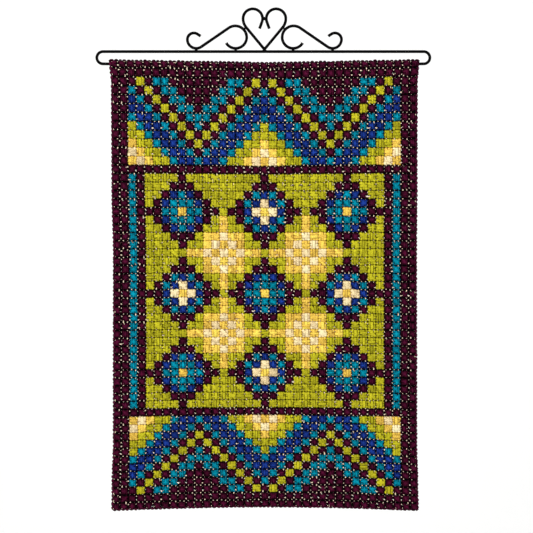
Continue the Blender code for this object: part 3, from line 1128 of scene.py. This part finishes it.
class NEEDLEPOINT_OT_stage(bpy.types.Operator):
    """Set the floor, the backdrop, the soft lights and the camera"""

    bl_idname = "needlepoint.stage"
    bl_label = "Set Stage"

    def execute(self, context):
        stage = context.scene.needlepoint_stage
        self.lay_floor(stage)
        self.light_room(context, stage)
        self.place_camera(context, stage)
        context.scene.view_settings.view_transform = "Standard"
        return {"FINISHED"}

    def lay_floor(self, stage):
        """A pale floor that turns up behind into a backdrop."""
        back, low = BACKDROP_DEPTH - FLOOR_REACH, FLOOR_HEIGHT + FLOOR_REACH
        deselect()
        bpy.ops.mesh.primitive_plane_add(
            size=FLOOR_SIZE, location=(0, BACKDROP_DEPTH - FLOOR_SIZE / 2, FLOOR_HEIGHT))
        floor = bpy.context.object
        bpy.ops.object.transform_apply(location=True, rotation=True, scale=True)
        bpy.ops.object.mode_set(mode="EDIT")
        select_verts(floor, lambda co: co.y > back)
        bpy.ops.mesh.extrude_region_move(TRANSFORM_OT_translate={"value": (0, 0, BACKDROP_RISE)})
        select_verts(floor, lambda co: co.y > back and co.z < low)
        bpy.ops.mesh.bevel(offset=COVE_RADIUS, segments=COVE_STEPS, affect="EDGES")
        bpy.ops.object.mode_set(mode="OBJECT")
        bpy.ops.object.shade_smooth()
        floor.name = "floor"
        material, *_ = new_finish("pale_floor", tuple(stage.floor_colour), roughness=0.9)
        floor.data.materials.append(material)

    def light_room(self, context, stage):
        """Large soft lights above, in front and on the backdrop, in an evenly lit room."""
        for name, place, size, depth in LIGHTS:
            deselect()
            bpy.ops.object.light_add(type="AREA", location=place)
            light = bpy.context.object
            light.name = f"{name}_light"
            light.data.shape = "DISK"
            light.data.size = size
            light.data.energy = getattr(stage, f"{name}_power")
            light.visible_camera = False
            aim = Vector((0, depth, stage.view_height)) - Vector(place)
            light.rotation_euler = aim.to_track_quat("-Z", "Y").to_euler()
        world = context.scene.world or bpy.data.worlds.new("room")
        context.scene.world = world
        world.use_nodes = True
        background = world.node_tree.nodes["Background"]
        background.inputs["Color"].default_value = (1, 1, 1, 1)
        background.inputs["Strength"].default_value = stage.sky

    def place_camera(self, context, stage):
        """Face on to the cloth, as in the photograph."""
        distance = stage.lens * stage.view_size / SENSOR_WIDTH
        deselect()
        bpy.ops.object.camera_add(location=(stage.view_across, -distance, stage.view_height),
                                  rotation=(math.pi / 2, 0, 0))
        camera = bpy.context.object
        camera.data.lens = stage.lens
        camera.data.sensor_width = SENSOR_WIDTH
        context.scene.camera = camera


class NEEDLEPOINT_PT_panel(bpy.types.Panel):
    """Lists the steps in the order they are done"""

    bl_label = "Needlepoint"
    bl_idname = "NEEDLEPOINT_PT_panel"
    bl_space_type = "VIEW_3D"
    bl_region_type = "UI"
    bl_category = "Needlepoint"

    def draw(self, context):
        for group in ("needlepoint_wire", "needlepoint_yarn", "needlepoint_stage"):
            box = self.layout.box()
            settings = getattr(context.scene, group)
            for name in settings.bl_rna.properties.keys():
                if name not in ("rna_type", "name"):
                    box.prop(settings, name)
        for step in STEPS:
            self.layout.operator(step.bl_idname)


STEPS = (NEEDLEPOINT_OT_hanger, NEEDLEPOINT_OT_welds, NEEDLEPOINT_OT_stitches,
         NEEDLEPOINT_OT_canvas, NEEDLEPOINT_OT_stage)
CLASSES = (WireSettings, YarnSettings, StageSettings, *STEPS, NEEDLEPOINT_PT_panel)


def register():
    for item in CLASSES:
        bpy.utils.register_class(item)
    bpy.types.Scene.needlepoint_wire = bpy.props.PointerProperty(type=WireSettings)
    bpy.types.Scene.needlepoint_yarn = bpy.props.PointerProperty(type=YarnSettings)
    bpy.types.Scene.needlepoint_stage = bpy.props.PointerProperty(type=StageSettings)


def unregister():
    for name in ("needlepoint_wire", "needlepoint_yarn", "needlepoint_stage"):
        delattr(bpy.types.Scene, name)
    for item in reversed(CLASSES):
        bpy.utils.unregister_class(item)


def main():
    register()
    bpy.ops.needlepoint.hanger()
    bpy.ops.needlepoint.welds()
    bpy.ops.needlepoint.stitches()
    bpy.ops.needlepoint.canvas()
    bpy.ops.needlepoint.stage()


if __name__ == "__main__":
    main()
